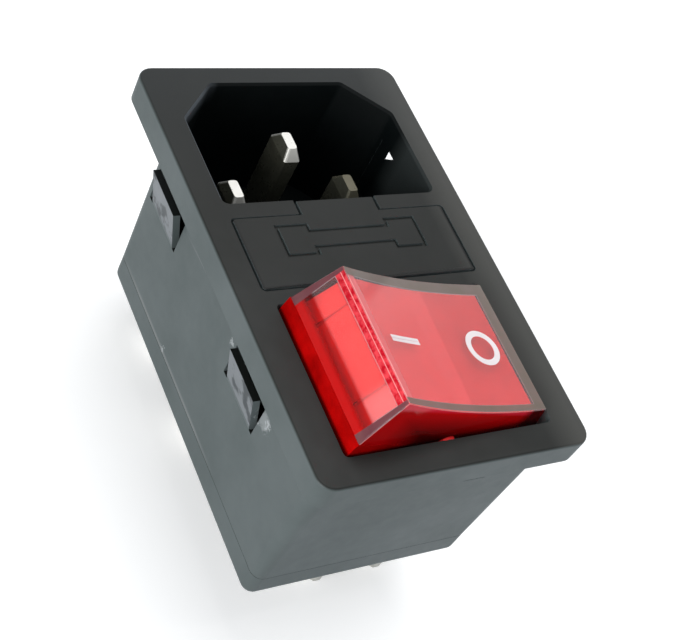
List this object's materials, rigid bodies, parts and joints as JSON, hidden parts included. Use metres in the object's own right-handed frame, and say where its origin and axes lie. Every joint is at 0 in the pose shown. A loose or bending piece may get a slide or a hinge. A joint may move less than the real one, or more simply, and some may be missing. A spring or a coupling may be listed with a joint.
{
  "type": "power socket",
  "caption": "Panel-mounted mains inlet with a fuse drawer and a lit rocker switch in one snap-in plastic housing, with blade terminals at the back.",
  "frame": {"origin": "centre of the outline seen from the front, at the level of the terminals' ends, so the part stands on its terminals with its face up; the panel seat is 30.5 mm above", "axes": "+Z out of the panel, +Y along the face from the switch to the inlet, +X across the face towards the O end of the rocker"},
  "size_m": [0.031, 0.0506, 0.0401],
  "materials": {
    "black_nylon": "moulded black nylon with a fine matt texture",
    "clear_cap": "clear polycarbonate, polished",
    "red_body": "translucent red, satin",
    "nickel_brass": "bright nickel plate over brass",
    "contact_copper": "copper alloy strip, satin",
    "contact_silver": "silver alloy, satin",
    "fuse_glass": "clear glass",
    "white_nylon": "natural nylon",
    "spring_steel": "spring steel wire",
    "resistor_tan": "lacquered ceramic"
  },
  "bodies": {
    "case": {"housing": "black_nylon", "rear_cover": "black_nylon", "line_pin": "nickel_brass", "neutral_pin": "nickel_brass", "earth_pin": "nickel_brass", "fuse_contact_line": "contact_copper", "fuse_contact_load": "contact_copper", "switch_line_in": "nickel_brass", "switch_line_out": "nickel_brass", "switch_neutral_in": "nickel_brass", "switch_neutral_out": "nickel_brass", "fixed_button_line": "contact_silver", "fixed_button_neutral": "contact_silver"},
    "drawer": {"fuse_drawer": "black_nylon", "fuse_tube": "fuse_glass", "fuse_cap_left": "nickel_brass", "fuse_cap_right": "nickel_brass", "fuse_wire": "contact_copper", "spare_fuse_tube": "fuse_glass", "spare_fuse_cap_left": "nickel_brass", "spare_fuse_cap_right": "nickel_brass", "spare_fuse_wire": "contact_copper"},
    "rocker": {"rocker_cap": "clear_cap", "rocker_body": "red_body", "neon_lamp": "fuse_glass", "lamp_resistor": "resistor_tan", "plunger_spring_line": "spring_steel", "plunger_spring_neutral": "spring_steel"},
    "line_plunger": {"plunger_line": "white_nylon"},
    "neutral_plunger": {"plunger_neutral": "white_nylon"},
    "line_contact": {"moving_contact_line": "contact_copper", "moving_button_line": "contact_silver"},
    "neutral_contact": {"moving_contact_neutral": "contact_copper", "moving_button_neutral": "contact_silver"}
  },
  "joints": [
    {"name": "drawer_slide", "type": "slide", "parent": "case", "child": "drawer", "axis": [0, 0, 1], "range_m": [0, 0.022]},
    {"name": "rocker_hinge", "type": "hinge", "parent": "case", "child": "rocker", "pos_m": [0, -0.0138, 0.0316], "axis": [0, -1, 0], "range_deg": [0, 32]},
    {"name": "line_plunger_slide", "type": "slide", "parent": "rocker", "child": "line_plunger", "axis": [0.2756, 0, 0.9613], "range_m": [0, 0.0006], "stiffness_N_per_m": 300, "springref_m": -0.004, "deforming": ["plunger_spring_line"]},
    {"name": "neutral_plunger_slide", "type": "slide", "parent": "rocker", "child": "neutral_plunger", "axis": [0.2756, 0, 0.9613], "range_m": [0, 0.0006], "stiffness_N_per_m": 300, "springref_m": -0.004, "deforming": ["plunger_spring_neutral"]},
    {"name": "line_contact_hinge", "type": "hinge", "parent": "case", "child": "line_contact", "pos_m": [0, -0.0097, 0.02139], "axis": [0, 1, 0], "range_deg": [0, 18]},
    {"name": "neutral_contact_hinge", "type": "hinge", "parent": "case", "child": "neutral_contact", "pos_m": [0, -0.0179, 0.02139], "axis": [0, 1, 0], "range_deg": [0, 18]}
  ],
  "couplings": [
    {"joint": "line_contact_hinge", "follows": "rocker_hinge", "ratio": 0.5625},
    {"joint": "neutral_contact_hinge", "follows": "rocker_hinge", "ratio": 0.5625}
  ]
}
